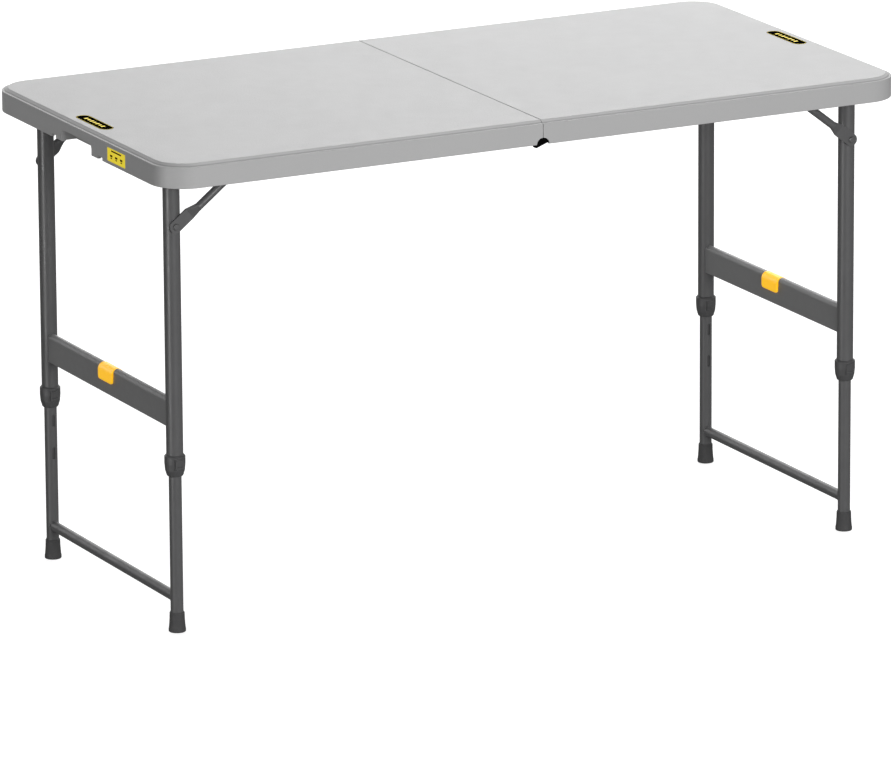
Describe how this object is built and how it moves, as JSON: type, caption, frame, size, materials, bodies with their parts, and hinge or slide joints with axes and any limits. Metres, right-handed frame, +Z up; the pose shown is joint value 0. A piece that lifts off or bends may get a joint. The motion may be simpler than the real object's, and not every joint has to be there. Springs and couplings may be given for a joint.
{
  "type": "folding camp table",
  "caption": "Fold-in-half camp table: light grey moulded top, telescoping dark steel leg frames with cross beam, release button, side braces and rubber feet, and a carrying strap.",
  "frame": {"origin": "on the floor under the centre of the open table", "axes": "+Z up, X along the long side of the open top, Y along the short side, with -Y the side facing the picture's camera"},
  "size_m": [1.22, 0.61, 0.721],
  "materials": {
    "top_plastic": "finely pebbled light grey moulding",
    "frame_steel": "satin dark grey powder coat",
    "beam_plastic": "satin dark grey moulding",
    "collar_plastic": "fine matt black moulding",
    "foot_rubber": "matt black rubber",
    "button_plastic": "semi-gloss yellow",
    "badge_plastic": "gloss black plate with a thin yellow rim and plain bars",
    "label_film": null,
    "rail_steel": "zinc plated",
    "bright_steel": "zinc plated fixings",
    "hinge_steel": "dark grey coat",
    "clamp_plastic": "black moulding",
    "cream_plastic": "natural nylon",
    "strap_webbing": "woven black webbing"
  },
  "bodies": {
    "left_half": {"panel_left": "top_plastic", "badge_left": "badge_plastic", "pivot_clamps_left": "clamp_plastic", "panel_screws_left": "bright_steel", "hinge_leaves_left": "hinge_steel", "rail_front_left": "rail_steel", "rail_back_left": "rail_steel", "end_label": "label_film", "hinge_rod": "hinge_steel", "hinge_spacers": "cream_plastic", "rod_caps": "clamp_plastic", "hinge_covers": "clamp_plastic"},
    "right_half": {"panel_right": "top_plastic", "badge_right": "badge_plastic", "pivot_clamps_right": "clamp_plastic", "panel_screws_right": "bright_steel", "hinge_leaves_right": "hinge_steel", "rail_front_right": "rail_steel", "rail_back_right": "rail_steel", "strap_anchors": "bright_steel"},
    "leg_frame_left": {"pivot_tube_left": "frame_steel", "upper_leg_front_left": "frame_steel", "upper_leg_back_left": "frame_steel", "cross_beam_left": "beam_plastic", "collar_front_left": "collar_plastic", "collar_back_left": "collar_plastic", "brace_rivets_left": "frame_steel"},
    "lower_frame_left": {"lower_leg_front_left": "frame_steel", "lower_leg_back_left": "frame_steel", "stretcher_left": "frame_steel", "foot_front_left": "foot_rubber", "foot_back_left": "foot_rubber"},
    "braces_left": {"brace_front_left": "frame_steel", "brace_back_left": "frame_steel"},
    "sliders_left": {"rail_sliders_left": "clamp_plastic"},
    "button_left": {"release_button_left": "button_plastic"},
    "pin_front_left": {"lock_pin_front_left": "bright_steel"},
    "pin_back_left": {"lock_pin_back_left": "bright_steel"},
    "leg_frame_right": {"pivot_tube_right": "frame_steel", "upper_leg_front_right": "frame_steel", "upper_leg_back_right": "frame_steel", "cross_beam_right": "beam_plastic", "collar_front_right": "collar_plastic", "collar_back_right": "collar_plastic", "brace_rivets_right": "frame_steel"},
    "lower_frame_right": {"lower_leg_front_right": "frame_steel", "lower_leg_back_right": "frame_steel", "stretcher_right": "frame_steel", "foot_front_right": "foot_rubber", "foot_back_right": "foot_rubber"},
    "braces_right": {"brace_front_right": "frame_steel", "brace_back_right": "frame_steel"},
    "sliders_right": {"rail_sliders_right": "clamp_plastic"},
    "button_right": {"release_button_right": "button_plastic"},
    "pin_front_right": {"lock_pin_front_right": "bright_steel"},
    "pin_back_right": {"lock_pin_back_right": "bright_steel"},
    "strap": {"carry_strap": "strap_webbing"}
  },
  "joints": [
    {"name": "table_fold", "type": "hinge", "parent": "left_half", "child": "right_half", "pos_m": [0, 0, 0.685], "axis": [0, 1, 0], "range_deg": [0, 75]},
    {"name": "leg_fold_left", "type": "hinge", "parent": "left_half", "child": "leg_frame_left", "pos_m": [-0.561, 0, 0.7005], "axis": [0, -1, 0], "range_deg": [0, 90]},
    {"name": "height_left", "type": "slide", "parent": "leg_frame_left", "child": "lower_frame_left", "axis": [0, 0, 1], "range_m": [0, 0.1524]},
    {"name": "brace_turn_left", "type": "hinge", "parent": "leg_frame_left", "child": "braces_left", "pos_m": [-0.561, 0, 0.6125], "axis": [0, -1, 0], "range_deg": [-128.18, 0]},
    {"name": "slider_travel_left", "type": "slide", "parent": "left_half", "child": "sliders_left", "axis": [1, 0, 0], "range_m": [0, 0.11848]},
    {"name": "button_press_left", "type": "slide", "parent": "leg_frame_left", "child": "button_left", "axis": [0, 0, -1], "range_m": [0, 0.006], "stiffness_N_per_m": 400, "springref_m": -0.004},
    {"name": "pin_pull_front_left", "type": "slide", "parent": "leg_frame_left", "child": "pin_front_left", "axis": [0, 1, 0], "range_m": [0, 0.0051]},
    {"name": "pin_pull_back_left", "type": "slide", "parent": "leg_frame_left", "child": "pin_back_left", "axis": [0, -1, 0], "range_m": [0, 0.0051]},
    {"name": "leg_fold_right", "type": "hinge", "parent": "right_half", "child": "leg_frame_right", "pos_m": [0.561, 0, 0.7005], "axis": [0, 1, 0], "range_deg": [0, 90]},
    {"name": "height_right", "type": "slide", "parent": "leg_frame_right", "child": "lower_frame_right", "axis": [0, 0, 1], "range_m": [0, 0.1524]},
    {"name": "brace_turn_right", "type": "hinge", "parent": "leg_frame_right", "child": "braces_right", "pos_m": [0.561, 0, 0.6125], "axis": [0, 1, 0], "range_deg": [-128.18, 0]},
    {"name": "slider_travel_right", "type": "slide", "parent": "right_half", "child": "sliders_right", "axis": [-1, 0, 0], "range_m": [0, 0.11848]},
    {"name": "button_press_right", "type": "slide", "parent": "leg_frame_right", "child": "button_right", "axis": [0, 0, -1], "range_m": [0, 0.006], "stiffness_N_per_m": 400, "springref_m": -0.004},
    {"name": "pin_pull_front_right", "type": "slide", "parent": "leg_frame_right", "child": "pin_front_right", "axis": [0, 1, 0], "range_m": [0, 0.0051]},
    {"name": "pin_pull_back_right", "type": "slide", "parent": "leg_frame_right", "child": "pin_back_right", "axis": [0, -1, 0], "range_m": [0, 0.0051]},
    {"name": "strap_swing", "type": "hinge", "parent": "right_half", "child": "strap", "pos_m": [0.598, 0, 0.6875], "axis": [0, -1, 0], "range_deg": [-60, 90]}
  ],
  "couplings": [
    {"joint": "brace_turn_left", "follows": "leg_fold_left", "ratio": -1.422},
    {"joint": "slider_travel_left", "follows": "leg_fold_left", "m_per_rad": 0.075302},
    {"joint": "pin_pull_front_left", "follows": "button_press_left", "ratio": 0.83},
    {"joint": "pin_pull_back_left", "follows": "button_press_left", "ratio": 0.83},
    {"joint": "brace_turn_right", "follows": "leg_fold_right", "ratio": -1.422},
    {"joint": "slider_travel_right", "follows": "leg_fold_right", "m_per_rad": 0.075302},
    {"joint": "pin_pull_front_right", "follows": "button_press_right", "ratio": 0.83},
    {"joint": "pin_pull_back_right", "follows": "button_press_right", "ratio": 0.83}
  ]
}
